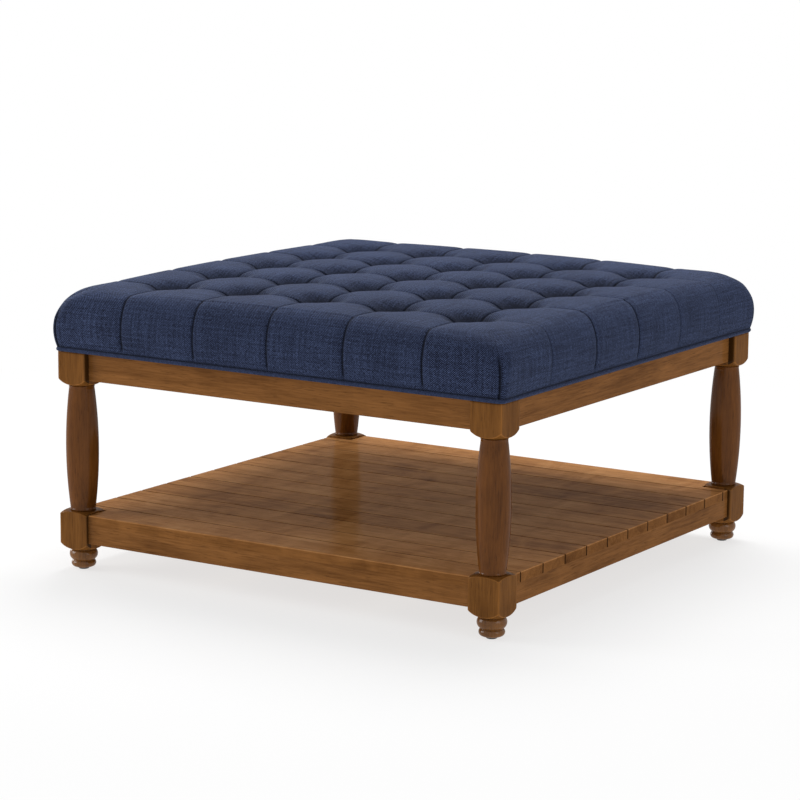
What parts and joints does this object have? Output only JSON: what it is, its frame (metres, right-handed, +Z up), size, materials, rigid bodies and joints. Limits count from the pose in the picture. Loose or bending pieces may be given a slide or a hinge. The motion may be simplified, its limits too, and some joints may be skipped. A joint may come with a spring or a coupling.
{
  "type": "ottoman coffee table",
  "caption": "Square ottoman coffee table: biscuit-tufted upholstered top with a corded edge, on turned wooden legs joined by an apron and a low shelf of planks.",
  "frame": {"origin": "On the floor, under the middle of the table.", "axes": "+Z up. The front faces -Y, and the shelf boards run along X."},
  "size_m": [0.862, 0.862, 0.4799],
  "materials": {
    "frame_wood": "satin",
    "shelf_wood": "satin",
    "hidden_wood": "sawn",
    "board_wood": "sanded",
    "glide_plastic": "matte",
    "zinc_steel": "zinc plated",
    "lining_fabric": "matte",
    "foam": "matte",
    "wadding": "matte",
    "navy_fabric": "woven"
  },
  "bodies": {
    "root": {"apron_brace_back_left": "hidden_wood", "apron_brace_back_right": "hidden_wood", "apron_brace_front_left": "hidden_wood", "apron_brace_front_right": "hidden_wood", "apron_rail_back": "frame_wood", "apron_rail_front": "frame_wood", "apron_rail_left": "frame_wood", "apron_rail_right": "frame_wood", "corner_bolts": "zinc_steel", "corner_washers": "zinc_steel", "cushion_cover": "navy_fabric", "deck_board": "board_wood", "deck_screws": "zinc_steel", "dust_cover": "lining_fabric", "foam_core": "foam", "foot_glides": "glide_plastic", "leg_back_left": "frame_wood", "leg_back_right": "frame_wood", "leg_front_left": "frame_wood", "leg_front_right": "frame_wood", "shelf_batten_1": "hidden_wood", "shelf_batten_2": "hidden_wood", "shelf_brace_back_left": "hidden_wood", "shelf_brace_back_right": "hidden_wood", "shelf_brace_front_left": "hidden_wood", "shelf_brace_front_right": "hidden_wood", "shelf_brads": "zinc_steel", "shelf_plank_01": "shelf_wood", "shelf_plank_02": "shelf_wood", "shelf_plank_03": "shelf_wood", "shelf_plank_04": "shelf_wood", "shelf_plank_05": "shelf_wood", "shelf_plank_06": "shelf_wood", "shelf_plank_07": "shelf_wood", "shelf_plank_08": "shelf_wood", "shelf_plank_09": "shelf_wood", "shelf_plank_10": "shelf_wood", "shelf_plank_11": "shelf_wood", "shelf_plank_12": "shelf_wood", "shelf_rail_back": "frame_wood", "shelf_rail_front": "frame_wood", "shelf_rail_left": "frame_wood", "shelf_rail_right": "frame_wood", "wadding_cap": "wadding", "welt_piping": "navy_fabric"}
  },
  "joints": []
}
